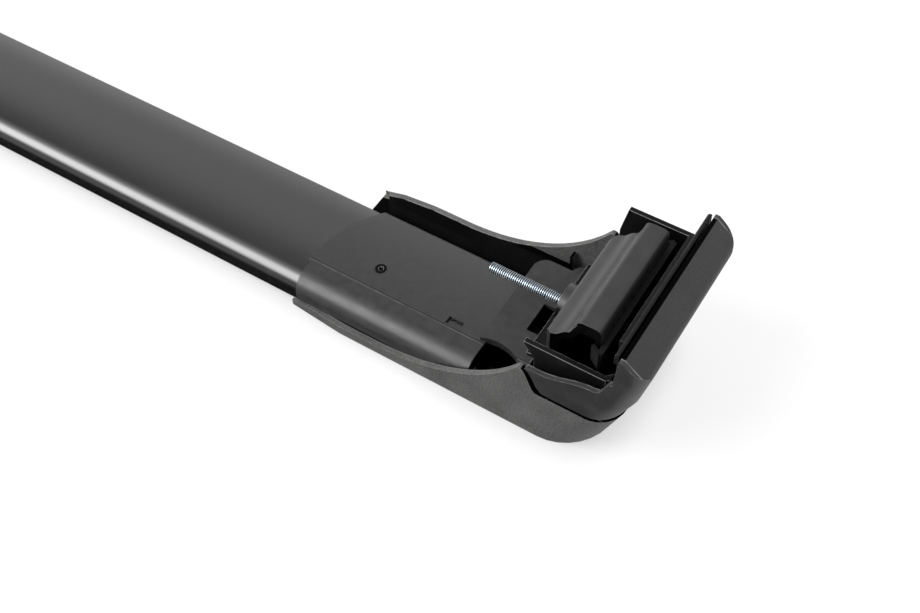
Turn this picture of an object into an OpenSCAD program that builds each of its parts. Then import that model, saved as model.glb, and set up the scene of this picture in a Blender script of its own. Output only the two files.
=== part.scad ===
// Roof rack crossbar: a wing bar carried by a rail-clamping foot at each end.
// In use +Z is up, +X runs along the bar across the vehicle, and the feet stand on z = 0.
// Each foot is drawn upside down, as it lies on a bench: x runs outboard from its inner end,
// y across it, and z from its load side down towards the rail.

/* [Rack] */
// Overall length over the shoulders of the two feet
rack_len = 1050; // [900:10:1300]
// Height of a foot from its lip to its load side
foot_h = 105; // [103:1:112]
// Width of a foot along the rail
foot_w = 103; // [100:1:110]
// Length of a foot from its inner end to its shoulder
foot_len = 220; // [216:0.5:226]
// Fit gap between parts that seat on each other
fit = 0.2; // [0.1:0.05:0.3]

/* [Bar] */
// Chord of the wing profile
bar_w = 77; // [72:1:80]
// Thickness of the wing profile
bar_t = 20; // [19:0.5:23]
// Wall of the extrusion
bar_wall = 1.8; // [1.5:0.1:2.2]
// Radius of the leading nose
nose_r = 9.5; // [8:0.5:10]
// Radius of the trailing edge
tail_r = 3; // [2.5:0.1:3.5]
// Radius from the load face to the nose
corner_r = 3.5; // [2.5:0.5:4.5]
// Radius of the curved belly
belly_r = 180; // [150:5:260]
// Distance from the bar's end to the foot's shoulder
bar_end = 106; // [106:1:125]
// Mouth of the accessory slot
slot_w = 11; // [9:0.5:12]
// Inner width of the accessory slot
slot_in_w = 20; // [18:0.5:22]
// Depth of the accessory slot
slot_deep = 7; // [6:0.2:7.2]
// Thickness of the slot's lips
slot_lip = 2; // [1.6:0.1:2.5]
// Height of the rubber strip over the load face
strip_proud = 0.6; // [0.4:0.1:1]

/* [Cover] */
// Thickness of the cover's skin over the load side
skin_t = 2.5; // [2:0.1:3]
// Thickness of the cover's skirts
skirt_t = 3.2; // [2.6:0.1:3.6]
// Height of the low rim at the inner end
rim_low = 8; // [6:0.5:8.5]
// Length of rim that rises
rim_run = 94; // [88:1:102]
// Radius of the rising rim
rim_r = 112; // [106:1:122]
// Distance from the rim's peak to the shoulder
peak_out = 68; // [67:1:72]
// Height of the joint line between cover and claw
split_z = 42.2; // [40:0.2:43]
// Radius of the cover's outboard corners on the load side
cover_corner_r = 31; // [24:1:36]
// Radius of the corners at the joint line
split_corner_r = 16; // [12:1:20]
// Taper of the skirts at the inner end
end_taper = 3; // [1:0.5:3]

/* [Cradle] */
// Thickness of the cradle's sheet round the bar
wrap_t = 1.6; // [1.2:0.1:1.8]
// Height of the raised plate
plate_z = 27; // [26:0.5:30]
// Thickness of the raised plate
plate_t = 2.6; // [2:0.1:3]
// Radius of the arched recess beside the nose
arch_r = 25.5; // [22:0.5:27]
// Where the cradle screw stands along the foot
screw_x = 40; // [30:1:60]
// Radius of the cradle screw's shank
screw_r = 2; // [1.5:0.1:2.2]

/* [Claw] */
// Thickness of the claw's shell
claw_t = 2.7; // [2.2:0.1:2.9]
// Gap along the joint line between claw and cover
split_gap = 2.6; // [1.6:0.1:2.8]
// Height of the claw's arms at their inner end
arm_z = 62; // [60:0.5:66]
// Height of the claw's arms at the corner
arm_corner_z = 71; // [68:0.5:76]
// Thickness of the lip's tip
tip_t = 2.3; // [1.8:0.1:3]
// Width of the lip's bevelled face
bevel = 7; // [5:0.5:8]
// Radius of the claw's corners at the shoulder
shoulder_corner_r = 9; // [9:1:14]

/* [Clamp] */
// Thickness of the bracket's steel
steel_t = 2.8; // [2.4:0.1:3]
// Gap between the claw's arm and the bracket's wall beside the bar's nose
wall_gap = 3; // [1:0.5:3.5]
// Drop of the bracket's wall beside the bar's nose below the lips
near_wall_drop = 31; // [25:1:35]
// Drop of the bracket's wall beside the bar's tail below the lips
far_wall_drop = 17; // [15:1:23]
// Drop of the bracket's hook wall below the lips
hook_drop = 9; // [7:1:13]
// Thickness of the rubber pads
pad_t = 2.3; // [1.8:0.1:2.6]
// Width of the jaw along the rail
jaw_w = 72; // [60:1:78]
// Height of the jaw's crown
jaw_z = 97.5; // [94:0.5:100]
// Gap left for the rail between jaw and hook pads, as photographed
rail_gap = 6.3; // [5.5:0.1:12]
// Radius of the clamp bolt
bolt_r = 3; // [2.5:0.5:4]
// Length of the clamp bolt under its head
bolt_len = 100; // [80:1:104]
// Radius of the jaw's hood round the bolt
hood_r = 10.8; // [10:0.1:11.5]
// Width of a window in the jaw pad
window = 5.5; // [4:0.5:7]
// Pitch of the windows in the jaw pad
window_pitch = 11; // [9:0.5:16]

/* [Hidden] */
$fn = 48;
eps = 0.01;
run = 0.05;
bar_z = skin_t + fit;
nose_y = -foot_w / 2 + skirt_t + fit + wrap_t + fit;
tail_y = nose_y + bar_w;
nose_c = [nose_y + nose_r, bar_z + bar_t - nose_r];
corner_c = [nose_y + corner_r, bar_z + corner_r];
tail_c = [tail_y - tail_r, bar_z + tail_r];
belly_c = meet(nose_c, belly_r - nose_r, tail_c, belly_r - tail_r);
slot_y = (nose_y + tail_y) / 2;
slot_floor = bar_z + slot_deep + bar_wall;
bar_len = rack_len - 2 * bar_end;

side_y = foot_w / 2;
peak_x = foot_len - peak_out;
rim_start = peak_x - rim_run;
bar_in = foot_len - bar_end;
step_x = bar_in + 1;
web_x = peak_x - 4.8;
shell_x = foot_len - 16;
bracket_x = shell_x - fit;
hook_x = bracket_x - steel_t;
bracket_y = side_y - max(skirt_t, claw_t) - fit;
near_y = bracket_y - wall_gap;
bend = 6.2;
wall_x = peak_x + 6;
base_z = split_z + 0.8;
boss_x = shell_x - 20;
boss_y = 30;
hook_z = foot_h - hook_drop;
near_wall_z = foot_h - near_wall_drop;
far_wall_z = foot_h - far_wall_drop;
lip_z = hook_z - 13;
jaw_base_z = base_z + steel_t + 0.3;
bolt_z = jaw_base_z + 6.8;
pad_x = hook_x - fit - pad_t;
pad_y = bracket_y - steel_t - bend;
pad_near_y = near_y - steel_t - bend;
lip_out = 0.6;
jaw_x = pad_x - rail_gap - lip_out - pad_t - fit;
jaw_len = 31;
hood_t = 2.8;
hood_out = 7.5;
nut_w = 10;
nut_h = 5;
nut_in = 6.1;
washer_t = 1.2;
head_x = bracket_x + run + washer_t + run;
head_h = 4;
head_r = 5;
key_r = 6.6;
screw_y = slot_y - 5.5;
tongue_w = slot_in_w - 2 * fit;
tongue_z = slot_floor + fit;
cover_out = foot_len - 25;
split_out = foot_len - 13;
tip_x = foot_len - 14.6;
shoulder_z = foot_h - bevel - 5;
plate_end = web_x - 0.5;
plate_low = 10.5;

// Points along an arc from angle a0 to a1
function arc(c, r, a0, a1, n = 12) =
    [for (i = [0:n]) let (a = a0 + (a1 - a0) * i / n) c + r * [cos(a), sin(a)]];

// Lower of the two points at distance d1 from p1 and d2 from p2
function meet(p1, d1, p2, d2) =
    let (d = norm(p2 - p1), u = (p2 - p1) / d, a = (d1 * d1 - d2 * d2 + d * d) / (2 * d),
         h = sqrt(d1 * d1 - a * a))
    p1 + a * u + h * [u[1], -u[0]];

// Angle of the line from p to q
function heading(p, q) = atan2(q[1] - p[1], q[0] - p[0]);

// Points of a smooth S from p to q, level at both ends
function ess(p, q, n = 10) =
    [for (i = [0:n]) let (s = i / n)
        [p[0] + (q[0] - p[0]) * s, p[1] + (q[1] - p[1]) * (1 - cos(180 * s)) / 2]];

// Outline of the wing profile in y and z, drawn inwards by t
function wing(t) = concat(
    arc(corner_c, corner_r - t, 270, 180, 6),
    arc(nose_c, nose_r - t, 180, heading(belly_c, nose_c), 14),
    arc(belly_c, belly_r - t, heading(belly_c, nose_c), heading(belly_c, tail_c), 16),
    arc(tail_c, tail_r - t, heading(belly_c, tail_c), -90, 10)
);

// Height of the belly above the bench at y
function belly(y) = belly_c[1] + sqrt(belly_r * belly_r - pow(y - belly_c[0], 2));

// Height of the rising rim at x
function rim(x) = rim_low + rim_r - sqrt(rim_r * rim_r - pow(x - rim_start, 2));

// Plan of the foot: tapered at the inner end, round at the outboard corners, drawn inwards by t
function foot_plan(out, r, t) = let (h = side_y - t, k = max(r - t, 1)) concat(
    [[0, -h + end_taper], [35, -h]],
    arc([out - t - k, -h + k], k, -90, 0, 8),
    arc([out - t - k, h - k], k, 0, 90, 8),
    [[35, h], [0, h - end_taper]]
);

// Plan of the bracket's bent walls, drawn inwards by t
function bracket_plan(t) = let (n = near_y - t, h = bracket_y - t, k = bend - t / 2) [
    [wall_x, -n], [bracket_x - k - t, -n], [bracket_x - t, -n + k],
    [bracket_x - t, h - k], [bracket_x - k - t, h], [wall_x, h]
];

// Extrudes a y-z outline from x0 to x1
module along(x0, x1) translate([x0, 0, 0]) rotate([90, 0, 90]) linear_extrude(x1 - x0) children();

// Extrudes an x-z outline from y0 to y1
module across(y0, y1) translate([0, y1, 0]) rotate([90, 0, 0]) linear_extrude(y1 - y0) children();

// A box given by its lowest and highest corners
module block(a, b) translate(a) cube(b - a);

// Turns the bench frame into the frame of use
module in_use() translate([0, 0, foot_h]) rotate([180, 0, 0]) children();

// Puts a foot's piece at the right (+X) or left (-X) end
module place(side) {
    if (side > 0) translate([rack_len / 2 - foot_len, 0, 0]) in_use() children();
    else mirror([1, 0, 0]) translate([rack_len / 2 - foot_len, 0, 0]) in_use() children();
}

module bar_section() {
    difference() {
        polygon(wing(0));
        difference() {
            polygon(wing(bar_wall));
            translate([slot_y - slot_in_w / 2 - bar_wall, 0]) square([slot_in_w + 2 * bar_wall, slot_floor]);
            for (s = [-1, 1])
                translate([slot_y + s * (slot_in_w + bar_wall) / 2 - bar_wall / 2, 0])
                    square([bar_wall, bar_z + bar_t]);
        }
        translate([slot_y - slot_w / 2, 0]) square([slot_w, bar_z + slot_lip + 1]);
        translate([slot_y - slot_in_w / 2, bar_z + slot_lip])
            square([slot_in_w, slot_deep - slot_lip]);
    }
}

module bar() {
    color([0.13, 0.13, 0.13]) in_use() difference() {
        along(-bar_len / 2, bar_len / 2) bar_section();
        for (s = [-1, 1])
            translate([s * (rack_len / 2 - foot_len + screw_x), screw_y, slot_floor + 1])
                cylinder(h = bar_t, r = screw_r + 0.1);
    }
}

// Rubber strip that fills the accessory slot between the feet
module slot_strip() {
    half = rack_len / 2 - foot_len - 1;
    color([0.07, 0.07, 0.07]) in_use() along(-half, half) {
        translate([slot_y - slot_w / 2 + fit, bar_z - strip_proud])
            square([slot_w - 2 * fit, strip_proud + slot_lip + 1]);
        translate([slot_y - slot_in_w / 2 + 1, bar_z + slot_lip + fit])
            square([slot_in_w - 2, 1.6]);
    }
}

// Side view of everything above the cover's rim
module above_rim() {
    polygon(concat(
        [[-20, foot_h + 40], [-20, rim_low - 2.5], [2, rim_low - 2.5], [14, rim_low], [rim_start, rim_low]],
        [for (i = [1:16]) let (x = rim_start + (peak_x - rim_start) * i / 16) [x, rim(x)]],
        ess([peak_x + 1.5, rim(peak_x)], [peak_x + 11, split_z]),
        [[foot_len + 20, split_z], [foot_len + 20, foot_h + 40]]
    ));
}

// Solid that fills the cover's outline, drawn inwards by t from height z0
module cover_form(t, z0, edge) {
    top = rim(peak_x) + 2;
    lean = (split_out - cover_out) / split_z;
    hull() {
        translate([0, 0, z0]) linear_extrude(eps)
            polygon(foot_plan(cover_out, cover_corner_r, t + edge));
        translate([0, 0, z0 + edge]) linear_extrude(eps)
            polygon(foot_plan(cover_out + lean * edge, cover_corner_r, t));
        translate([0, 0, split_z]) linear_extrude(eps) polygon(foot_plan(split_out, split_corner_r, t));
        translate([0, 0, top]) linear_extrude(eps)
            polygon(foot_plan(split_out + lean * (top - split_z), split_corner_r, t));
    }
}

// Section of the room inside the cover, whose far wall leans in to meet the bar's tail
module cover_room() {
    far = side_y - skirt_t;
    polygon([[-far, skin_t], [tail_y + 3, skin_t], [far - 2, 13], [far, 17], [far, foot_h], [-far, foot_h]]);
}

module cover_rib(x, side, reach) {
    y = side_y - skirt_t + 0.5;
    translate([x, 0, skin_t - 0.5]) mirror([0, side < 0 ? 1 : 0, 0])
        block([0, y - reach, 0], [1.8, y, rim(x) - skin_t - 4]);
}

module foot_cover() {
    color([0.2, 0.2, 0.2]) difference() {
        union() {
            difference() {
                cover_form(0, 0, 1.2);
                intersection() {
                    cover_form(skirt_t, skin_t, 0.5);
                    along(-1, foot_len) cover_room();
                }
                along(-1, 15) polygon([
                    [nose_y - fit, skin_t], [tail_y + 3, skin_t], [side_y - skirt_t - 2, 13],
                    [nose_y - fit, 13]]);
                translate([0, 0, skin_t]) linear_extrude(foot_h) polygon([
                    [-1, tail_y - 5], [14, tail_y - 5], [14, tail_y], [3, side_y - skirt_t],
                    [-1, side_y - skirt_t]]);
            }
            cover_rib(step_x - 19, 1, 5.5);
            cover_rib(step_x + 16, 1, 5.5);
            cover_rib(step_x + 4, -1, 7);
            cover_rib(step_x + 15, -1, 7);
        }
        across(-side_y - 1, side_y + 1) above_rim();
    }
    color([0.2, 0.2, 0.2]) for (s = [-1, 1]) translate([boss_x, s * boss_y, skin_t - 0.5])
        cylinder(h = base_z - fit - skin_t + 0.5, r = 4.5);
}

// Plan of the raised plate, drawn inwards by t
module raised_plan(t) {
    far = tail_y + 7;
    difference() {
        union() {
            translate([step_x + t, -side_y + skirt_t + 3 + t])
                square([plate_end - step_x - 2 * t, far - 6 + side_y - skirt_t - 3 - 2 * t]);
            translate([step_x + 8, far - 6.5 - t]) square([plate_end - step_x - 8 - t, 6.5]);
            translate([step_x + 8, far - 8]) circle(8 - t);
            translate([step_x + 26, far]) circle(5 - t);
        }
        translate([step_x + 10.5, -side_y + 1]) circle(arch_r + t);
        translate([plate_end - 13, -10]) square([14, 20]);
    }
}

module bar_cradle() {
    head_z = belly(screw_y) + fit + wrap_t;
    color([0.17, 0.17, 0.17]) difference() {
        union() {
            intersection() {
                along(-3, step_x + 3) difference() {
                    polygon(wing(-fit - wrap_t));
                    polygon(wing(-fit));
                    polygon([[-side_y, -9], [side_y, -9], [side_y, 4.4], [-side_y, rim_low + 1.2]]);
                }
                linear_extrude(foot_h) polygon(concat(
                    [[4, -side_y], [3, nose_y + 15.5], [1, nose_y + 16]],
                    [for (i = [1:8]) let (s = i / 8) [1 + 13 * s * s, nose_y + 16 + (bar_w - 10) * s]],
                    [[step_x + 3, tail_y + 6], [step_x + 3, nose_y + 18], [step_x + 7, nose_y + 6],
                     [step_x + 3, -side_y]]
                ));
            }
            difference() {
                translate([0, 0, plate_low]) linear_extrude(plate_z - plate_low) raised_plan(0);
                translate([0, 0, plate_low - 1])
                    linear_extrude(plate_z - plate_t - plate_low + 1) raised_plan(2);
            }
        }
        translate([screw_x, screw_y, head_z - 2.2]) cylinder(h = 8, r = screw_r + 0.2);
        translate([screw_x, screw_y, head_z - wrap_t])
            cylinder(h = wrap_t + 0.8, r1 = screw_r + 0.5, r2 = 4.6);
        block([bar_in - 22, nose_y + 19.5, 10], [bar_in - 12.5, nose_y + 24.5, 40]);
        block([step_x - 1, slot_y - tongue_w / 2 - 1, tongue_z - 1],
              [plate_end + 1, slot_y + tongue_w / 2 + 1, tongue_z + steel_t + 1]);
        along(step_x - 1, step_x + 30) polygon(wing(0));
    }
}

// Side view of the claw: arms, the corner's rise and the bevelled lip
module claw_side() {
    gap = split_gap;
    polygon(concat(
        ess([peak_x + 4, rim(peak_x) + 1], [peak_x + 15, split_z + gap]),
        [[foot_len + 5, split_z + gap], [foot_len + 5, shoulder_z - 6]],
        arc([foot_len - 7, shoulder_z - 2], 7, 0, 45, 6),
        [[tip_x + tip_t, foot_h], [tip_x, foot_h], [tip_x - 0.5, foot_h - 9]],
        ess([tip_x - 2, arm_corner_z + 13], [shell_x - 8, arm_corner_z], 8),
        ess([shell_x - 10, arm_corner_z - 0.5], [shell_x - 40, arm_z], 8),
        [[peak_x + 5, arm_z]]
    ));
}

// Solid that fills the claw's outline, drawn inwards by t
module claw_form(t) {
    low = split_z + split_gap - eps;
    hull() {
        translate([0, 0, low]) linear_extrude(eps) polygon(foot_plan(split_out, split_corner_r, t));
        translate([0, 0, 64]) linear_extrude(eps)
            polygon(foot_plan(split_out + 7, (split_corner_r + shoulder_corner_r) / 2, t));
        translate([0, 0, shoulder_z - 2]) linear_extrude(eps)
            polygon(foot_plan(foot_len, shoulder_corner_r, t));
        translate([0, 0, foot_h]) linear_extrude(eps)
            polygon(foot_plan(foot_len, shoulder_corner_r, t));
    }
}

module claw() {
    arm_y = side_y - claw_t;
    color([0.16, 0.16, 0.16]) difference() {
        intersection() {
            claw_form(0);
            across(-side_y - 1, side_y + 1) claw_side();
        }
        translate([0, 0, split_z]) linear_extrude(foot_h) polygon([
            [-1, -arm_y], [shell_x - bend, -arm_y], [shell_x, -arm_y + bend],
            [shell_x, arm_y - bend], [shell_x - bend, arm_y], [-1, arm_y]]);
        intersection() {
            claw_form(claw_t);
            block([shell_x + claw_t, -side_y + 12, split_z], [foot_len, side_y - 12, shoulder_z - 6]);
        }
        block([shell_x - 10, -side_y - 1, lip_z], [shell_x, side_y + 1, foot_h + 1]);
        translate([shell_x - 1, 0, bolt_z]) rotate([0, 90, 0]) cylinder(h = 20, r = key_r);
    }
}

module clamp_bracket() {
    color([0.1, 0.1, 0.1]) difference() {
        union() {
            translate([0, 0, base_z]) linear_extrude(far_wall_z - base_z) difference() {
                polygon(bracket_plan(0));
                translate([-eps, 0]) polygon(bracket_plan(steel_t));
            }
            block([hook_x, -near_y + bend + 1, near_wall_z - 1], [bracket_x, bracket_y - bend - 1, hook_z]);
            across(-near_y, -near_y + steel_t) polygon([
                [wall_x + 1, near_wall_z - 11], [wall_x, near_wall_z - 11], [wall_x - 6, near_wall_z - 1.5],
                [wall_x - 6, near_wall_z], [wall_x + 1, near_wall_z]]);
            translate([0, 0, base_z]) linear_extrude(steel_t) {
                polygon(bracket_plan(0));
                translate([web_x, -side_y + 18]) square([wall_x - web_x + 1, foot_w - 36]);
            }
            block([web_x, -20, tongue_z], [web_x + steel_t, 20, base_z + 1]);
            block([screw_x - 12, slot_y - tongue_w / 2, tongue_z],
                  [web_x + 1, slot_y + tongue_w / 2, tongue_z + steel_t]);
        }
        block([wall_x - 1, -near_y - 1, near_wall_z], [bracket_x + 1, -near_y + bend + 1, far_wall_z + 1]);
        across(bracket_y - steel_t - 1, bracket_y + 1) polygon([
            [wall_x - 1, 70], [wall_x, 70], [wall_x + 4, far_wall_z + 1], [wall_x - 1, far_wall_z + 1]]);
        translate([hook_x - 1, 0, bolt_z]) rotate([0, 90, 0]) cylinder(h = steel_t + 2, r = bolt_r + 0.3);
        translate([screw_x, screw_y, tongue_z - 1]) cylinder(h = steel_t + 2, r = screw_r + run);
        for (s = [-1, 1]) translate([boss_x, s * boss_y, base_z - 1]) cylinder(h = steel_t + 2, r = 2.2);
    }
}

// Rubber that lines the hook wall and folds over its edge
module hook_pad() {
    low = bolt_z + 6;
    fold = hook_z + fit;
    color([0.06, 0.06, 0.06]) {
        across(-pad_near_y, pad_y) difference() {
            polygon([
                [pad_x, low], [pad_x, fold + pad_t], [bracket_x, fold + pad_t], [bracket_x, fold],
                [pad_x + pad_t, fold], [pad_x + pad_t, low]]);
            for (i = [0:5]) translate([pad_x, low + 7 + i * 5]) circle(0.6, $fn = 16);
        }
        across(-side_y + 4, side_y) polygon([
            [bracket_x - pad_t, fold], [bracket_x - pad_t, foot_h - 2.5],
            [bracket_x - pad_t + 1, foot_h - 1.5], [bracket_x, foot_h - 1.5], [bracket_x, fold]]);
    }
}

// Side view of the jaw: sliding foot, ramp and crown, with its clamping face at jaw_x
module jaw_side() {
    x0 = jaw_x - jaw_len;
    polygon(concat(
        [[x0, jaw_base_z], [x0, jaw_z - 28]],
        arc([x0 + 4, jaw_z - 24.5], 4, 180, 115, 5),
        ess([x0 + 5, jaw_z - 19.5], [x0 + 13.5, jaw_z - 12.5], 5),
        [[x0 + 15, jaw_z - 10], [x0 + 17.5, jaw_z - 4.5]],
        arc([x0 + 21, jaw_z - 3.5], 3.5, 160, 90, 5),
        arc([jaw_x - 3.5, jaw_z - 3.5], 3.5, 90, 0, 6),
        [[jaw_x, jaw_base_z]]
    ));
}

module clamp_jaw() {
    x0 = jaw_x - jaw_len;
    slot = nut_w / 2 + 0.3;
    color([0.19, 0.19, 0.19]) difference() {
        union() {
            across(-jaw_w / 2, jaw_w / 2) jaw_side();
            intersection() {
                translate([x0 - hood_out, 0, bolt_z]) rotate([0, 90, 0]) cylinder(h = 12, r = hood_r);
                block([x0 - hood_out - 1, -hood_r - 1, jaw_base_z], [x0 + 5, hood_r + 1, foot_h]);
            }
        }
        translate([x0 - hood_out - 0.5, 0, bolt_z]) rotate([0, 90, 0])
            cylinder(h = hood_out - 0.5, r = hood_r - hood_t);
        for (s = [-1, 1]) {
            mirror([0, s < 0 ? 1 : 0, 0]) across(jaw_w / 2 - 12, jaw_w / 2 + 1) polygon([
                [x0 + 4, jaw_base_z - 1], [x0 + 4, jaw_z - 28], [x0 + 8, jaw_z - 23], [x0 + 15, jaw_z - 17],
                [x0 + 20, jaw_z - 8], [jaw_x - 3, jaw_z - 8], [jaw_x - 3, jaw_base_z - 1]]);
            translate([x0, s * jaw_w / 2, jaw_z / 2]) rotate([0, 0, 45]) cube([5, 5, foot_h], center = true);
        }
        translate([x0 - 5, 0, bolt_z]) rotate([0, 90, 0]) cylinder(h = jaw_len + 10, r = bolt_r + 0.3);
        along(x0 + nut_in - 0.1, x0 + nut_in + nut_h + 0.1) polygon([
            [-slot, jaw_base_z - 1], [-slot, bolt_z + slot * tan(30)], [0, bolt_z + slot / cos(30)],
            [slot, bolt_z + slot * tan(30)], [slot, jaw_base_z - 1]]);
    }
}

// Rubber facing on the jaw, with a lip along its top and a row of square windows
module jaw_pad() {
    x = jaw_x + fit;
    low = bolt_z + 7;
    top = jaw_z - 11.5;
    reach = jaw_w / 2 + 4;
    count = floor((2 * reach - 12) / window_pitch);
    color([0.08, 0.08, 0.08]) difference() {
        union() {
            block([x, -reach, low], [x + pad_t, reach, top]);
            block([x, -reach, top - 3.5], [x + pad_t + lip_out, reach, top]);
            for (s = [-1, 1]) translate([x + pad_t / 2, s * (reach - 0.2), 0]) rotate([0, 0, s * 32])
                block([-6, -0.9, top - 12], [0.6, 0.9, top]);
        }
        for (i = [0:count]) translate([x - 1, (i - count / 2) * window_pitch - window / 2, top - 10.7])
            cube([pad_t + 2, window, 7]);
    }
}

module jaw_nut() {
    x0 = jaw_x - jaw_len;
    color([0.7, 0.7, 0.72]) translate([x0 + nut_in, 0, bolt_z]) rotate([0, 90, 0]) difference() {
        cylinder(h = nut_h, r = nut_w / 2 / cos(30), $fn = 6);
        translate([0, 0, -1]) cylinder(h = nut_h + 2, r = bolt_r + run);
    }
}

module clamp_bolt() {
    color([0.75, 0.77, 0.78]) translate([head_x, 0, bolt_z]) rotate([0, 90, 0]) difference() {
        union() {
            cylinder(h = head_h, r = head_r);
            translate([0, 0, -bolt_len + 0.8]) cylinder(h = bolt_len, r = bolt_r);
            translate([0, 0, -bolt_len]) cylinder(h = 0.8, r1 = bolt_r - 0.6, r2 = bolt_r);
        }
        translate([0, 0, head_h - 2.5]) cylinder(h = 3, r = 2.5 / cos(30), $fn = 6);
    }
}

module bolt_washer() {
    color([0.7, 0.7, 0.72]) translate([bracket_x + run, 0, bolt_z]) rotate([0, 90, 0]) difference() {
        cylinder(h = washer_t, r = 6);
        translate([0, 0, -1]) cylinder(h = washer_t + 2, r = bolt_r + 0.2);
    }
}

// Countersunk screw through cradle and bar into the bracket's tongue
module cradle_screw() {
    head_z = belly(screw_y) + fit + wrap_t;
    color([0.12, 0.12, 0.12]) translate([screw_x, screw_y, 0]) difference() {
        union() {
            translate([0, 0, tongue_z + 0.3]) cylinder(h = head_z - tongue_z - 1.2, r = screw_r);
            translate([0, 0, head_z - wrap_t + 0.1]) cylinder(h = wrap_t - 0.3, r1 = screw_r, r2 = 3.6);
        }
        translate([0, 0, head_z - 1.3]) cylinder(h = 3, r = 1.4 / cos(30), $fn = 6);
    }
}

bar();
slot_strip();
place(1) foot_cover();  // foot_cover_right
place(1) bar_cradle();  // bar_cradle_right
place(1) claw();  // claw_right
place(1) clamp_bracket();  // clamp_bracket_right
place(1) hook_pad();  // hook_pad_right
place(1) clamp_jaw();  // clamp_jaw_right
place(1) jaw_pad();  // jaw_pad_right
place(1) jaw_nut();  // jaw_nut_right
place(1) clamp_bolt();  // clamp_bolt_right
place(1) bolt_washer();  // bolt_washer_right
place(1) cradle_screw();  // cradle_screw_right
place(-1) foot_cover();  // foot_cover_left
place(-1) bar_cradle();  // bar_cradle_left
place(-1) claw();  // claw_left
place(-1) clamp_bracket();  // clamp_bracket_left
place(-1) hook_pad();  // hook_pad_left
place(-1) clamp_jaw();  // clamp_jaw_left
place(-1) jaw_pad();  // jaw_pad_left
place(-1) jaw_nut();  // jaw_nut_left
place(-1) clamp_bolt();  // clamp_bolt_left
place(-1) bolt_washer();  // bolt_washer_left
place(-1) cradle_screw();  // cradle_screw_left
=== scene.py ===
"""Finishes, fine parts and studio for a roof rack crossbar, built round its packed model."""

from __future__ import annotations

import logging
import math
from dataclasses import dataclass, field
from enum import Enum

import bmesh
import bpy
from mathutils import Matrix, Quaternion, Vector

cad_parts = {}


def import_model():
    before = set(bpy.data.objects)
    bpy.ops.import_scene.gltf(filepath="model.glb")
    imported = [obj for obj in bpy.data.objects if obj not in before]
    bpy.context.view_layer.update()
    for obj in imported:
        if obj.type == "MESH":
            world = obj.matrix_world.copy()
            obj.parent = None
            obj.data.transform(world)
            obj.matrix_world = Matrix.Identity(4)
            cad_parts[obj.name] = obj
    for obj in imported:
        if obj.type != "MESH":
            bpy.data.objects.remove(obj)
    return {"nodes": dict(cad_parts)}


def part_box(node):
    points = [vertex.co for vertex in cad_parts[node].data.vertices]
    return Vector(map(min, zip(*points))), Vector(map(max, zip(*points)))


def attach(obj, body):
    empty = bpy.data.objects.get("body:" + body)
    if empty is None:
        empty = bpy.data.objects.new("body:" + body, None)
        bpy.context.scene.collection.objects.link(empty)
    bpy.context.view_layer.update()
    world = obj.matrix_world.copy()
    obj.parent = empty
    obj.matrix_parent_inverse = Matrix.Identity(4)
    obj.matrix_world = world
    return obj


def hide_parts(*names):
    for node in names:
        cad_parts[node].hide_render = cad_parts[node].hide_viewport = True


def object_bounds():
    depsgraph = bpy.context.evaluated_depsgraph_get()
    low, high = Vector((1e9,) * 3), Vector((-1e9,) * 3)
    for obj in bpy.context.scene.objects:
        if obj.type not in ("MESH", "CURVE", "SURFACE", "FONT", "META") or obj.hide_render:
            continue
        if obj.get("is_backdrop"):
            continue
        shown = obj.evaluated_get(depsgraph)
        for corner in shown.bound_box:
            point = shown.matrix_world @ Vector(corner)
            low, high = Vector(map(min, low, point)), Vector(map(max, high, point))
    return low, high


LOG = logging.getLogger("crossbar")
MM = 0.001
HALF_TURN = 180.0
Colour = tuple[float, float, float]
Span = tuple[float, float]
Socket = bpy.types.NodeSocket
Sockets = tuple[Socket, ...]
Mesh = bmesh.types.BMesh
Points = list[bmesh.types.BMVert]
WHITE: Colour = (1.0, 1.0, 1.0)


class Side(Enum):
    """The end of the bar that a foot stands at."""

    RIGHT = "right"
    LEFT = "left"

    @property
    def sign(self) -> int:
        """1 at the +X end and -1 at the -X end."""
        return 1 if self is Side.RIGHT else -1


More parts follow.
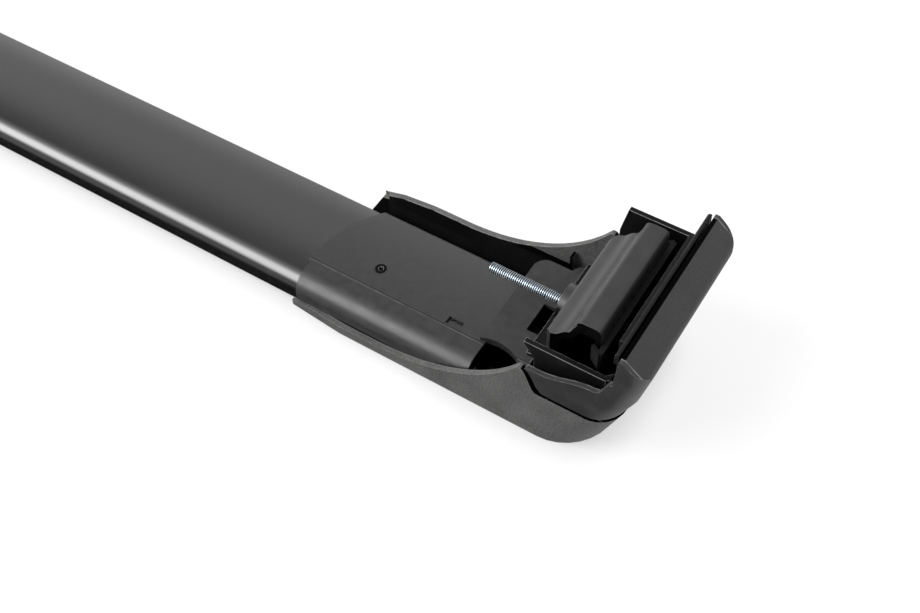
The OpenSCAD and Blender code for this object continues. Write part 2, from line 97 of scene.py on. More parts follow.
class Graph:
    """Short-hand for adding and joining nodes in one node tree."""

    def __init__(self, tree: bpy.types.NodeTree) -> None:
        """Takes the material's, world's or group's tree that the nodes go into."""
        self.tree = tree

    def add(self, kind: str, inputs: dict | None = None, **settings: object) -> bpy.types.Node:
        """Adds a node, sets it up and joins what leads into it.

        Args:
            kind: The node's Blender type.
            inputs: Input names or numbers, with the value or the output socket that each one gets.
            settings: Attributes of the node itself.

        Returns:
            The new node.
        """
        node = self.tree.nodes.new(kind)
        for name, value in settings.items():
            setattr(node, name, value)
        for name, value in (inputs or {}).items():
            if isinstance(value, Socket):
                self.link(value, node.inputs[name])
            else:
                node.inputs[name].default_value = value
        return node

    def link(self, value: Socket, target: Socket) -> None:
        """Leads an output into an input."""
        self.tree.links.new(value, target)

    def group(self, tree: bpy.types.NodeTree, inputs: dict[str, float]) -> bpy.types.Node:
        """Places a shared node group with values of its own."""
        return self.add("ShaderNodeGroup", inputs, node_tree=tree)

    def math(self, operation: str, a: object, b: object = 0.0) -> Socket:
        """Adds a Math node on two values or sockets and returns its output."""
        return self.add("ShaderNodeMath", {0: a, 1: b}, operation=operation).outputs[0]

    def product(self, first: Socket, *others: object) -> Socket:
        """Multiplies several values.

        Args:
            first: The first socket.
            others: The sockets or numbers that it is multiplied by.

        Returns:
            The product.
        """
        result = first
        for value in others:
            result = self.math("MULTIPLY", result, value)
        return result

    def ramp(self, value: Socket, span: tuple, ends: Span = (0.0, 1.0)) -> Socket:
        """Maps a value from one range to another and clamps it there.

        Args:
            value: What is mapped.
            span: The two values or sockets that are mapped to the ends.
            ends: The two ends of the result.

        Returns:
            The mapped value.
        """
        node = self.add("ShaderNodeMapRange", {
            "Value": value, "From Min": span[0], "From Max": span[1], "To Min": ends[0], "To Max": ends[1]})
        return node.outputs["Result"]

    def blend(self, factor: Socket, a: object, b: object) -> Socket:
        """Mixes two colours and returns the result."""
        return self.add("ShaderNodeMix", {0: factor, 6: a, 7: b}, data_type="RGBA").outputs[2]

    def where(self) -> Socket:
        """Gives the place on the object, in the frame's metres."""
        return self.add("ShaderNodeTexCoord").outputs["Object"]

    def split(self, vector: Socket) -> Sockets:
        """Parts a vector into its X, Y and Z."""
        parts = self.add("ShaderNodeSeparateXYZ", {0: vector})
        return tuple(parts.outputs[axis] for axis in "XYZ")

    def place(self) -> Sockets:
        """Gives the X, Y and Z of the place on the object, in millimetres."""
        return tuple(self.math("DIVIDE", part, MM) for part in self.split(self.where()))

    def facing(self) -> Sockets:
        """Gives the X, Y and Z of the surface's normal."""
        return self.split(self.add("ShaderNodeNewGeometry").outputs["Normal"])

    def noise(self, scale: object, detail: float, rough: float = 0.5) -> Socket:
        """Adds a noise texture over the object.

        Args:
            scale: Cells in a metre.
            detail: How many finer layers it has.
            rough: How strong the finer layers are.

        Returns:
            The noise's value.
        """
        node = self.add("ShaderNodeTexNoise", {
            "Vector": self.where(), "Scale": scale, "Detail": detail, "Roughness": rough})
        return node.outputs["Fac"]

    def cells(self, size: Socket) -> Socket:
        """Turns a size in millimetres into a texture's scale, in cells in a metre."""
        return self.math("DIVIDE", 1.0 / MM, size)


def rgba(colour: Colour, share: float = 1.0) -> tuple[float, ...]:
    """Takes a share of a colour and adds full opacity."""
    return (*(part * share for part in colour), 1.0)


@dataclass
class Effects:
    """Node groups that several finishes share, each built once.

    Lengths are in millimetres and the noise's scale is in cells in a metre.
    """

    mottle_span: Span = (0.3, 0.7)
    # The fields below shape the light edges, which paint rubbing and a highlight together.
    wear_and_highlight_reach: float = 3.0
    wear_and_highlight_open: Span = (0.55, 0.8)
    wear_and_highlight_scale: float = 240.0
    wear_and_highlight_softness: float = 0.2
    wear_and_highlight_samples: int = 4
    speck_radius: float = 0.12
    grain: bpy.types.NodeTree = field(init=False)
    wear_and_highlight: bpy.types.NodeTree = field(init=False)
    specks: bpy.types.NodeTree = field(init=False)

    def __post_init__(self) -> None:
        """Builds the groups."""
        self.grain = self._grain()
        self.wear_and_highlight = self._wear_and_highlight()
        self.specks = self._specks()

    @staticmethod
    def _new(name: str, inputs: dict[str, float], outputs: list[str],
             ) -> tuple[Graph, bpy.types.Node, bpy.types.Node]:
        """Starts a group with float sockets.

        Args:
            name: The group's name.
            inputs: Input names with their defaults.
            outputs: Output names.

        Returns:
            The group's graph, its input node and its output node.
        """
        tree = bpy.data.node_groups.new(name, "ShaderNodeTree")
        for label, value in inputs.items():
            socket = tree.interface.new_socket(name=label, in_out="INPUT", socket_type="NodeSocketFloat")
            socket.default_value = value
        for label in outputs:
            tree.interface.new_socket(name=label, in_out="OUTPUT", socket_type="NodeSocketFloat")
        graph = Graph(tree)
        return graph, graph.add("NodeGroupInput"), graph.add("NodeGroupOutput")

    def _grain(self) -> bpy.types.NodeTree:
        """Makes a moulded or coated surface.

        Returns:
            The group, which puts out a fine height and a broad, soft mottle.
        """
        sizes = {"Size": 0.6, "Mottle Size": 14.0}
        g, given, result = self._new("surface_grain", sizes, ["Height", "Mottle"])
        fine = g.noise(g.cells(given.outputs["Size"]), detail=3.0, rough=0.6)
        broad = g.noise(g.cells(given.outputs["Mottle Size"]), detail=4.0, rough=0.55)
        g.link(fine, result.inputs["Height"])
        g.link(g.ramp(broad, self.mottle_span), result.inputs["Mottle"])
        return g.tree

    def _wear_and_highlight(self) -> bpy.types.NodeTree:
        """Makes the rubbing on an edge, together with the painted highlight that the edge catches.

        Returns:
            The group, which puts out a mask that is broken up by noise and stays out of corners.
        """
        g, given, result = self._new("edge_wear_and_highlight", {"Breakup": 0.4}, ["Mask"])
        reach = {"Distance": self.wear_and_highlight_reach * MM}
        room = g.add("ShaderNodeAmbientOcclusion", reach, samples=self.wear_and_highlight_samples)
        low = given.outputs["Breakup"]
        high = g.math("ADD", low, self.wear_and_highlight_softness)
        broken = g.ramp(g.noise(self.wear_and_highlight_scale, detail=4.0, rough=0.65), (low, high))
        g.link(g.product(g.ramp(room.outputs["AO"], self.wear_and_highlight_open), broken), result.inputs["Mask"])
        return g.tree

    def _specks(self) -> bpy.types.NodeTree:
        """Makes small scattered specks of dust.

        Returns:
            The group, which puts out a mask.
        """
        g, given, result = self._new("specks", {"Spacing": 4.0, "Share": 0.2}, ["Mask"])
        cells = g.add("ShaderNodeTexVoronoi", {
            "Vector": g.where(), "Scale": g.cells(given.outputs["Spacing"])})
        picked = g.add("ShaderNodeSeparateColor", {0: cells.outputs["Color"]})
        radius = g.product(picked.outputs["Green"], self.speck_radius)
        near = g.math("LESS_THAN", cells.outputs["Distance"], radius)
        chosen = g.math("LESS_THAN", picked.outputs["Red"], given.outputs["Share"])
        g.link(g.product(near, chosen), result.inputs["Mask"])
        return g.tree


@dataclass(frozen=True)
class Finish:
    """A surface finish: its colour, gloss, grain, and wear with a painted highlight on its edges, with
    lengths in millimetres.
    """

    name: str
    colour: Colour
    roughness: float
    metallic: float = 0.0
    specular: float = 0.5
    grain_size: float = 0.6
    grain_depth: float = 0.0
    grain_colour: float = 0.0
    grain_span: Span = (0.35, 0.65)
    mottle_size: float = 14.0
    mottle_colour: float = 0.15
    mottle_roughness: float = 0.06
    wear_and_highlight_colour: Colour = (0.2, 0.2, 0.2)
    wear_and_highlight_breakup: float = 0.45
    speck_colour: Colour = (0.3, 0.3, 0.3)
    speck_spacing: float = 5.0
    speck_share: float = 0.0

    def make(self, effects: Effects, worn_and_highlit: bool = False) -> bpy.types.Material:
        """Builds the material.

        Args:
            effects: The shared node groups.
            worn_and_highlit: Whether it is the finish of rubbed edges, which also carries a painted
                highlight.

        Returns:
            The finished material.
        """
        material = bpy.data.materials.new(f"{self.name}_edge" if worn_and_highlit else self.name)
        material.use_nodes = True
        g = Graph(material.node_tree)
        shader = material.node_tree.nodes["Principled BSDF"].inputs
        shader["Metallic"].default_value = self.metallic
        shader["Specular IOR Level"].default_value = self.specular
        grain = g.group(effects.grain, {"Size": self.grain_size, "Mottle Size": self.mottle_size})
        colour = self._base_colour(g, effects, grain)
        rough = g.ramp(grain.outputs["Mottle"], (0.0, 1.0), (
            self.roughness - self.mottle_roughness, self.roughness + self.mottle_roughness))
        # The rubbed edges are lightened as wear and as a painted highlight together.
        if worn_and_highlit:
            wear_and_highlight = g.group(effects.wear_and_highlight, {"Breakup": self.wear_and_highlight_breakup})
            colour = g.blend(wear_and_highlight.outputs["Mask"], colour, rgba(self.wear_and_highlight_colour))
        colour, rough = self._marks(g, colour, rough)
        g.link(colour, shader["Base Color"])
        g.link(rough, shader["Roughness"])
        if self.grain_depth:
            bump = g.add("ShaderNodeBump", {
                "Height": grain.outputs["Height"], "Distance": self.grain_depth * MM, "Strength": 1.0})
            g.link(bump.outputs[0], shader["Normal"])
        return material

    def _base_colour(self, g: Graph, effects: Effects, grain: bpy.types.Node) -> Socket:
        """Varies the colour with the mottle, the dust and the grain.

        Args:
            g: The material's graph.
            effects: The shared node groups.
            grain: The material's grain group.

        Returns:
            The colour.
        """
        dark = rgba(self.colour, 1.0 - self.mottle_colour)
        light = rgba(self.colour, 1.0 + self.mottle_colour)
        colour = g.blend(grain.outputs["Mottle"], dark, light)
        if self.speck_share:
            specks = g.group(effects.specks, {"Spacing": self.speck_spacing, "Share": self.speck_share})
            colour = g.blend(specks.outputs["Mask"], colour, rgba(self.speck_colour))
        if self.grain_colour:
            speckle = g.product(g.ramp(grain.outputs["Height"], self.grain_span), self.grain_colour)
            colour = g.blend(speckle, colour, rgba(self.speck_colour))
        return colour

    def _marks(self, g: Graph, colour: Socket, rough: Socket) -> tuple[Socket, Socket]:
        """Lets a finish add marks of its own; a plain finish adds none."""
        return colour, rough

    @staticmethod
    def _dull_painted_shade(g: Graph, mask: Socket) -> None:
        """Takes the sheen off where the mask of painted shade is 1: a dark metal mirrors next to nothing."""
        g.link(mask, g.tree.nodes["Principled BSDF"].inputs["Metallic"])


@dataclass(frozen=True)
class ThreadFinish(Finish):
    """Zinc with painted shade in its thread grooves, for a screw that lies along X."""

    axis_z: float = 0.0
    groove_r: float = 2.55
    crest_r: float = 2.95
    groove_shade_colour: Colour = (0.025, 0.033, 0.04)

    def _marks(self, g: Graph, colour: Socket, rough: Socket) -> tuple[Socket, Socket]:
        """Paints shade on what lies closer to the axis than the crests.

        Args:
            g: The material's graph.
            colour: The colour so far.
            rough: The roughness so far.

        Returns:
            The new colour and the same roughness.
        """
        axis = (0.0, 0.0, self.axis_z * MM)
        no_x = (0.0, 1.0, 1.0)
        offset = g.add("ShaderNodeVectorMath", {0: g.where(), 1: axis}, operation="SUBTRACT")
        across = g.add("ShaderNodeVectorMath", {0: offset.outputs[0], 1: no_x}, operation="MULTIPLY")
        radius = g.add("ShaderNodeVectorMath", {0: across.outputs[0]}, operation="LENGTH")
        crest = g.ramp(radius.outputs["Value"], (self.groove_r * MM, self.crest_r * MM))
        # Painted shade in the thread grooves.
        return g.blend(crest, rgba(self.groove_shade_colour), colour), rough


@dataclass(frozen=True)
class HollowFinish(Finish):
    """Finish of an open moulding: grained outside, with painted shade that blackens the inside and a painted
    highlight line at the rim.

    half_width, wall and skin_z place the moulding's inner faces, and taper says how far its sides draw in
    towards the bar. The joint is the face that meets the claw. The facing values are parts of the normal.
    """

    half_width: float = 51.5
    wall: float = 3.2
    skin_z: float = 104.3
    taper: float = 3.0
    taper_start: float = 305.0
    taper_len: float = 35.0
    # Colour of the painted shade on the inside and the joint.
    inside_shade_colour: Colour = (0.002, 0.002, 0.002)
    inside_facing: float = 0.2
    has_joint: bool = True
    joint_from: float = 459.0
    joint_to: float = 506.0
    joint_facing_y: float = 0.35
    joint_facing_up: float = 0.02
    joint_facing_down: float = -0.5
    rim_line: float = 0.45
    # Colour of the painted highlight along the rim's inner edge.
    rim_highlight_colour: Colour = (0.34, 0.34, 0.33)
    rim_facing: Span = (-0.3, -0.6)
    rim_scale: float = 180.0
    rim_gaps: Span = (0.38, 0.55)
    rim_faintest: float = 0.25

    def _marks(self, g: Graph, colour: Socket, rough: Socket) -> tuple[Socket, Socket]:
        """Paints shade that blackens and dulls the inside and the joint, and paints a highlight on the rim's
        edge.

        Args:
            g: The material's graph.
            colour: The colour so far.
            rough: The roughness so far.

        Returns:
            The new colour and the same roughness.
        """
        place = g.place()
        facing = g.facing()
        past = self._past_wall(g, place)
        # Painted shade: the inside and the joint are blackened, and dulled through Metallic.
        shaded_inside = self._inside(g, place, facing, past)
        if self.has_joint:
            shaded_inside = g.math("MAXIMUM", shaded_inside, self._joint(g, place, facing))
        self._dull_painted_shade(g, shaded_inside)
        shaded_colour = g.blend(shaded_inside, colour, rgba(self.inside_shade_colour))
        return g.blend(self._rim_highlight(g, facing, past), shaded_colour, rgba(self.rim_highlight_colour)), rough

    def _past_wall(self, g: Graph, place: Sockets) -> Socket:
        """Measures how far a point lies outside the side walls' inner faces.

        Args:
            g: The material's graph.
            place: The place on the object.

        Returns:
            The distance, negative inside.
        """
        reach = g.math("ABSOLUTE", place[0])
        drawn_in = g.ramp(reach, (self.taper_start, self.taper_start + self.taper_len), (self.taper, 0.0))
        wall_face = g.math("SUBTRACT", self.half_width - self.wall, drawn_in)
        return g.math("SUBTRACT", g.math("ABSOLUTE", place[1]), wall_face)

    def _inside(self, g: Graph, place: Sockets, facing: Sockets, past: Socket) -> Socket:
        """Finds what lies within the walls and under the skin, and doesn't face outward.

        Args:
            g: The material's graph.
            place: The place on the object.
            facing: The surface's normal.
            past: The distance outside the walls' inner faces.

        Returns:
            The mask.
        """
        outward = g.math("ADD", g.product(facing[0], g.math("SIGN", place[0])),
                         g.product(facing[1], g.math("SIGN", place[1])))
        return g.product(
            g.math("LESS_THAN", past, 0.0),
            g.math("LESS_THAN", place[2], self.skin_z),
            g.math("LESS_THAN", outward, self.inside_facing))

    def _joint(self, g: Graph, place: Sockets, facing: Sockets) -> Socket:
        """Finds the face that meets the claw: past the bar's end, not facing sideways and not upward.

        Args:
            g: The material's graph.
            place: The place on the object.
            facing: The surface's normal.

        Returns:
            The mask.
        """
        reach = g.math("ABSOLUTE", place[0])
        short = g.math("MAXIMUM", g.math("LESS_THAN", reach, self.joint_to),
                       g.math("LESS_THAN", facing[2], self.joint_facing_down))
        return g.product(
            g.math("GREATER_THAN", reach, self.joint_from),
            g.math("LESS_THAN", g.math("ABSOLUTE", facing[1]), self.joint_facing_y),
            g.math("LESS_THAN", facing[2], self.joint_facing_up),
            short)

    def _rim_highlight(self, g: Graph, facing: Sockets, past: Socket) -> Socket:
        """Draws a painted highlight: a broken line along the inner edge of the rim, where it faces down.

        Args:
            g: The material's graph.
            facing: The surface's normal.
            past: The distance outside the walls' inner faces.

        Returns:
            The mask.
        """
        line = g.ramp(g.math("ABSOLUTE", past), (self.rim_line, 0.0))
        broken = g.ramp(g.noise(self.rim_scale, detail=3.0), self.rim_gaps, (self.rim_faintest, 1.0))
        return g.product(line, g.ramp(facing[2], self.rim_facing), broken)


@dataclass(frozen=True)
class SeamFinish(Finish):
    """Moulded plastic with fine dark lines, each with a broken painted highlight beside it.

    One line runs along the bar at seam_y, and one crosses the raised plate at plate_end.
    """

    seam_y: float = 28.2
    seam_half: float = 0.45
    seam_dark: float = 0.2
    seam_highlight_colour: Colour = (0.14, 0.14, 0.14)
    seam_scale: float = 160.0
    seam_gaps: Span = (0.3, 0.6)
    seam_faintest: float = 0.3
    plate_end: float = 451.6

    def _marks(self, g: Graph, colour: Socket, rough: Socket) -> tuple[Socket, Socket]:
        """Draws the dark lines and the painted highlights beside them.

        Args:
            g: The material's graph.
            colour: The colour so far.
            rough: The roughness so far.

        Returns:
            The new colour and roughness.
        """
        place = g.place()
        dark = self._lines(g, place, self.seam_y, self.plate_end + self.seam_half)
        highlight_line = self._lines(g, place, self.seam_y + 2 * self.seam_half, self.plate_end - self.seam_half)
        broken = g.ramp(g.noise(self.seam_scale, detail=3.0), self.seam_gaps, (self.seam_faintest, 1.0))
        colour = g.blend(dark, colour, rgba(self.colour, self.seam_dark))
        # Painted highlight: a broken light line beside each dark line.
        colour = g.blend(g.product(highlight_line, broken), colour, rgba(self.seam_highlight_colour))
        return colour, g.math("MAXIMUM", rough, dark)

    def _lines(self, g: Graph, place: Sockets, seam: float, end: float) -> Socket:
        """Draws a soft line along the bar, and one across it that stops at that line.

        Args:
            g: The material's graph.
            place: The place on the object.
            seam: Where the first line lies along Y.
            end: How far along X the second one lies.

        Returns:
            The mask.
        """
        soft = (self.seam_half, 0.0)
        reach = g.math("ABSOLUTE", place[0])
        along = g.ramp(g.math("ABSOLUTE", g.math("SUBTRACT", place[1], seam)), soft)
        across = g.ramp(g.math("ABSOLUTE", g.math("SUBTRACT", reach, end)), soft)
        return g.math("MAXIMUM", along, g.product(across, g.math("LESS_THAN", place[1], self.seam_y)))


@dataclass(frozen=True)
class JawFinish(Finish):
    """Moulded plastic with painted shade on its ends, which face along the rail: they are much darker than
    its other faces.
    """

    end_facing: Span = (0.6, 0.85)
    end_shade_share: float = 0.5

    def _marks(self, g: Graph, colour: Socket, rough: Socket) -> tuple[Socket, Socket]:
        """Paints shade that darkens and dulls what faces along the rail.

        Args:
            g: The material's graph.
            colour: The colour so far.
            rough: The roughness so far.

        Returns:
            The new colour and the same roughness.
        """
        # Painted shade on the ends that face along the rail.
        end = g.ramp(g.math("ABSOLUTE", g.facing()[1]), self.end_facing)
        self._dull_painted_shade(g, end)
        return g.blend(end, colour, rgba(self.colour, self.end_shade_share)), rough


# Each wear colour below lightens eased edges as rubbing and as a painted highlight together.
BAR_COAT = Finish(
    "bar_satin_black", colour=(0.0055, 0.0055, 0.0055), roughness=0.24, specular=1.0,
    grain_size=0.35, grain_depth=0.003, mottle_size=60.0, mottle_roughness=0.015,
    wear_and_highlight_colour=(0.05, 0.05, 0.05), speck_colour=(0.05, 0.05, 0.05), speck_spacing=9.0, speck_share=0.04)
STRIP_RUBBER = Finish(
    "slot_strip_rubber", colour=(0.012, 0.012, 0.012), roughness=0.7, grain_size=0.8, grain_depth=0.03)
COVER_PLASTIC = HollowFinish(
    "cover_grained_plastic", colour=(0.085, 0.085, 0.084), roughness=0.6, specular=0.4,
    grain_size=1.2, grain_depth=0.06, grain_colour=0.45, mottle_colour=0.3,
    wear_and_highlight_colour=(0.36, 0.36, 0.35), wear_and_highlight_breakup=0.26,
    speck_colour=(0.24, 0.24, 0.235), speck_spacing=4.0, speck_share=0.06)
CRADLE_PLASTIC = SeamFinish(
    "cradle_satin_plastic", colour=(0.036, 0.036, 0.0365), roughness=0.38, specular=0.5,
    grain_size=1.2, grain_depth=0.03, mottle_size=5.0, mottle_roughness=0.09,
    wear_and_highlight_colour=(0.3, 0.3, 0.3), wear_and_highlight_breakup=0.3)
CLAW_PLASTIC = HollowFinish(
    "claw_grained_plastic", colour=(0.028, 0.028, 0.0285), roughness=0.42, specular=0.45,
    grain_size=0.7, grain_depth=0.02, grain_colour=0.12, mottle_colour=0.25,
    wear_and_highlight_colour=(0.36, 0.36, 0.35), wear_and_highlight_breakup=0.36,
    speck_colour=(0.2, 0.2, 0.2), speck_spacing=4.0, speck_share=0.05,
    has_joint=False, wall=2.5, skin_z=63.0)
JAW_PLASTIC = JawFinish(
    "jaw_satin_plastic", colour=(0.034, 0.034, 0.0345), roughness=0.34, specular=0.6,
    grain_size=0.8, grain_depth=0.012, wear_and_highlight_colour=(0.16, 0.16, 0.16), wear_and_highlight_breakup=0.38)
BRACKET_STEEL = Finish(
    "bracket_black_steel", colour=(0.007, 0.007, 0.0075), roughness=0.4, specular=0.12,
    grain_size=0.9, grain_depth=0.03, wear_and_highlight_colour=(0.5, 0.5, 0.49), wear_and_highlight_breakup=0.24,
    speck_colour=(0.22, 0.22, 0.21), speck_spacing=2.2, speck_share=0.35)
PAD_RUBBER = Finish(
    "pad_black_rubber", colour=(0.007, 0.007, 0.007), roughness=0.5, specular=0.2,
    grain_size=1.0, grain_depth=0.05, wear_and_highlight_colour=(0.16, 0.16, 0.155), wear_and_highlight_breakup=0.35,
    speck_colour=(0.14, 0.14, 0.13), speck_spacing=2.6, speck_share=0.25)
ZINC_STEEL = Finish(
    "bright_zinc", colour=(0.72, 0.80, 0.86), roughness=0.28, metallic=0.72,
    grain_size=0.5, grain_depth=0.004, mottle_size=6.0, mottle_colour=0.08, wear_and_highlight_colour=(0.4, 0.44, 0.48))
# The screw's bright edge colour paints glints on its eased edges.
SCREW_STEEL = Finish(
    "screw_black_oxide", colour=(0.004, 0.004, 0.005), roughness=0.2, specular=0.15,
    grain_size=0.4, grain_depth=0.006, wear_and_highlight_colour=(0.5, 0.5, 0.5), wear_and_highlight_breakup=0.3)


class Coat(Enum):
    """A packed node's material slots: its faces and its eased edges."""

    FACE = 0
    EDGE = 1


@dataclass(frozen=True)
class Coats:
    """The materials of one finish, made once and shared by the parts that have it."""

    face: bpy.types.Material
    edge: bpy.types.Material

    @classmethod
    def of(cls, finish: Finish, effects: Effects) -> Coats:
        """Makes the face and edge materials of a finish."""
        return cls(finish.make(effects), finish.make(effects, worn_and_highlit=True))

    def paint(self, node: bpy.types.Object) -> None:
        """Gives a packed node its materials.

        Args:
            node: The node's object.
        """
        node.data.materials.clear()
        node.data.materials.append(self.face)
        node.data.materials.append(self.edge)
        for polygon in node.data.polygons:
            polygon.material_index = Coat.FACE.value


@dataclass(frozen=True)
class EdgeRound:
    """How a packed node's edges are eased by modifiers, which leave its own mesh as it is.

    Lengths are in millimetres and angles in degrees. An edge that bends by sharpest or more is eased, and
    faces that bend by less than flat are joined.
    """

    width: float
    segments: int = 2
    sharpest: float = 28.0
    merge: float = 0.004
    flat: float = 0.6
    evenness: int = 80

    def ease(self, node: bpy.types.Object) -> None:
        """Stacks the modifiers that merge, flatten and round the node's mesh.

        Args:
            node: The node's object.
        """
        weld = node.modifiers.new("weld", "WELD")
        weld.merge_threshold = self.merge * MM
        flatten = node.modifiers.new("flatten", "DECIMATE")
        flatten.decimate_type = "DISSOLVE"
        flatten.angle_limit = math.radians(self.flat)
        bevel = node.modifiers.new("ease", "BEVEL")
        bevel.width = self.width * MM
        bevel.segments = self.segments
        bevel.limit_method = "ANGLE"
        bevel.angle_limit = math.radians(self.sharpest)
        bevel.miter_outer = "MITER_ARC"
        bevel.material = Coat.EDGE.value
        for polygon in node.data.polygons:
            polygon.use_smooth = True
        normals = node.modifiers.new("even_normals", "WEIGHTED_NORMAL")
        normals.keep_sharp = True
        normals.weight = self.evenness


@dataclass(frozen=True)
class Dressing:
    """How one kind of packed part is finished: its materials and its eased edges."""

    coats: Coats
    edges: EdgeRound

    def dress(self, node: bpy.types.Object) -> None:
        """Finishes a packed node and reports it.

        Args:
            node: The node's object.
        """
        self.coats.paint(node)
        self.edges.ease(node)
        LOG.info("dressed %s", node.name)


def add_piece(name: str, mesh: Mesh, material: bpy.types.Material, smooth: float) -> bpy.types.Object:
    """Makes an object from a bmesh.

    Args:
        name: The piece's name.
        mesh: Its geometry, in the frame's metres, which is freed.
        material: Its material.
        smooth: Angle in degrees above which edges stay sharp.

    Returns:
        The new object.
    """
    bmesh.ops.recalc_face_normals(mesh, faces=mesh.faces)
    data = bpy.data.meshes.new(name)
    mesh.to_mesh(data)
    mesh.free()
    data.materials.append(material)
    data.shade_smooth()
    data.set_sharp_from_angle(angle=math.radians(smooth))
    piece = bpy.data.objects.new(name, data)
    bpy.context.scene.collection.objects.link(piece)
    return piece


@dataclass
class ClampBolt:
    """M6 bolt with a rolled thread and a socket head, standing for the plain packed bolt.

    It is built in millimetres with its head above Z = 0 and its shank below. The crest and groove values are
    parts of a turn, and run_out lists where the plain shank narrows, past the thread's start.
    """

    side: Side
    thread_r: float = 3.0
    root_r: float = 2.42
    pitch: float = 1.2
    crest_end: float = 0.16
    groove_start: float = 0.5
    groove_end: float = 0.66
    tip_drop: float = 0.2
    tip_slope: float = 0.9
    plain_len: float = 4.0
    run_out: tuple[float, float, float] = (-0.3, 0.9, 1.6)
    core_gap: float = 0.1
    head_r: float = 5.0
    head_h: float = 4.0
    head_ease: float = 0.4
    socket_r: float = 2.5
    socket_deep: float = 2.5
    socket_rim: float = 0.75
    drill_deep: float = 0.6
    steps: int = 28
    smooth: float = 50.0

    def build(self, material: bpy.types.Material) -> bpy.types.Object:
        """Builds the bolt where the packed one is and lets it ride on its body.

        Args:
            material: The bolt's finish.

        Returns:
            The new piece.
        """
        node = f"clamp_bolt_{self.side.value}"
        low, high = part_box(node)
        mesh = bmesh.new()
        length = (high.x - low.x) / MM - self.head_h
        self._thread(mesh, length)
        self._run_out(mesh)
        self._head(mesh)
        head_end = high.x if self.side is Side.RIGHT else low.x
        under_head = head_end - self.side.sign * self.head_h * MM
        place = Matrix.Translation((under_head, 0.0, (low.z + high.z) / 2))
        turn = Matrix.Rotation(self.side.sign * math.radians(90.0), 4, "Y")
        mesh.transform(place @ turn @ Matrix.Scale(MM, 4))
        piece = add_piece(f"threaded_bolt_{self.side.value}", mesh, material, self.smooth)
        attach(piece, f"{self.side.value}_bolt")
        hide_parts(node)
        return piece

    def _thread(self, mesh: Mesh, length: float) -> None:
        """Adds the thread as one sheet that runs round and along -Z, with a chamfered end.

        Args:
            mesh: What the faces go into.
            length: Length under the head.
        """
        count = int((length - self.plain_len) / self.pitch) * self.steps + 1
        profile = ((0.0, self.thread_r), (self.crest_end, self.thread_r),
                   (self.groove_start, self.root_r), (self.groove_end, self.root_r))
        rows = [self._helix(mesh, length, count, share, radius) for share, radius in profile]
        for upper, lower in zip(rows, rows[1:]):
            for i in range(count - 1):
                mesh.faces.new((upper[i], upper[i + 1], lower[i + 1], lower[i]))
        first = rows[0]
        last = rows[-1]
        for i in range(count - 1 - self.steps):
            mesh.faces.new((last[i], last[i + 1], first[i + 1 + self.steps], first[i + self.steps]))
        self._fan(mesh, last[-self.steps - 1:-1], -length)

    def _helix(self, mesh: Mesh, length: float, count: int, share: float, radius: float) -> Points:
        """Adds one edge of the thread, which draws in at the bolt's end.

        Args:
            mesh: What the points go into.
            length: Length under the head.
            count: Number of points.
            share: How far along the first turn it starts, as a part of the pitch.
            radius: Its radius away from the end.

        Returns:
            Its points.
        """
        row = []
        for i in range(count):
            z = -self.plain_len - (i / self.steps + share) * self.pitch
            widest = self.root_r - self.tip_drop + self.tip_slope * max(length + z, 0.0)
            row.append(mesh.verts.new(self._point(min(radius, widest), i, max(z, -length))))
        return row

    def _run_out(self, mesh: Mesh) -> None:
        """Adds the plain shank, which narrows to the thread's core.

        Args:
            mesh: What the faces go into.
        """
        narrows, at_root, ends = (-self.plain_len - past for past in self.run_out)
        self._lathe(mesh, [(self.thread_r, 0.0), (self.thread_r, narrows),
                           (self.root_r, at_root), (self.root_r - self.core_gap, ends)])

    def _head(self, mesh: Mesh) -> None:
        """Adds the cylinder head with its hexagonal socket.

        Args:
            mesh: What the faces go into.
        """
        face_r = self.socket_r + self.socket_rim
        floor_z = self.head_h - self.socket_deep
        self._lathe(mesh, [
            (self.thread_r, 0.0), (self.head_r, 0.0), (self.head_r, self.head_h - self.head_ease),
            (self.head_r - self.head_ease, self.head_h), (face_r, self.head_h)])
        hexagon = [self._hexagon_r(i) for i in range(self.steps)]
        face = self._ring(mesh, [face_r] * self.steps, self.head_h)
        mouth = self._ring(mesh, hexagon, self.head_h)
        floor = self._ring(mesh, hexagon, floor_z)
        self._band(mesh, face, mouth)
        self._band(mesh, mouth, floor)
        self._fan(mesh, floor, floor_z - self.drill_deep)

    def _hexagon_r(self, i: int) -> float:
        """Measures how far the hexagonal socket's wall is from the axis.

        Args:
            i: The step round Z.

        Returns:
            The distance.
        """
        sixth = math.pi / 3
        within = (2 * math.pi * i / self.steps + sixth / 2) % sixth - sixth / 2
        return self.socket_r / math.cos(within)

    def _point(self, radius: float, i: int, z: float) -> tuple[float, float, float]:
        """Gives the point at the i-th step round Z."""
        angle = 2 * math.pi * i / self.steps
        return radius * math.cos(angle), radius * math.sin(angle), z

    def _ring(self, mesh: Mesh, radii: list[float], z: float) -> Points:
        """Adds a ring of points, each at its own radius."""
        return [mesh.verts.new(self._point(radius, i, z)) for i, radius in enumerate(radii)]

    def _band(self, mesh: Mesh, low: Points, high: Points) -> None:
        """Joins two rings with faces.

        Args:
            mesh: What the faces go into.
            low: The first ring.
            high: The second ring.
        """
        for i in range(self.steps):
            k = (i + 1) % self.steps
            mesh.faces.new((low[i], low[k], high[k], high[i]))

    def _fan(self, mesh: Mesh, ring: Points, z: float) -> None:
        """Closes a ring towards a point on the axis.

        Args:
            mesh: What the faces go into.
            ring: The ring.
            z: The point's height.
        """
        centre = mesh.verts.new((0.0, 0.0, z))
        for i in range(self.steps):
            mesh.faces.new((ring[i], ring[(i + 1) % self.steps], centre))

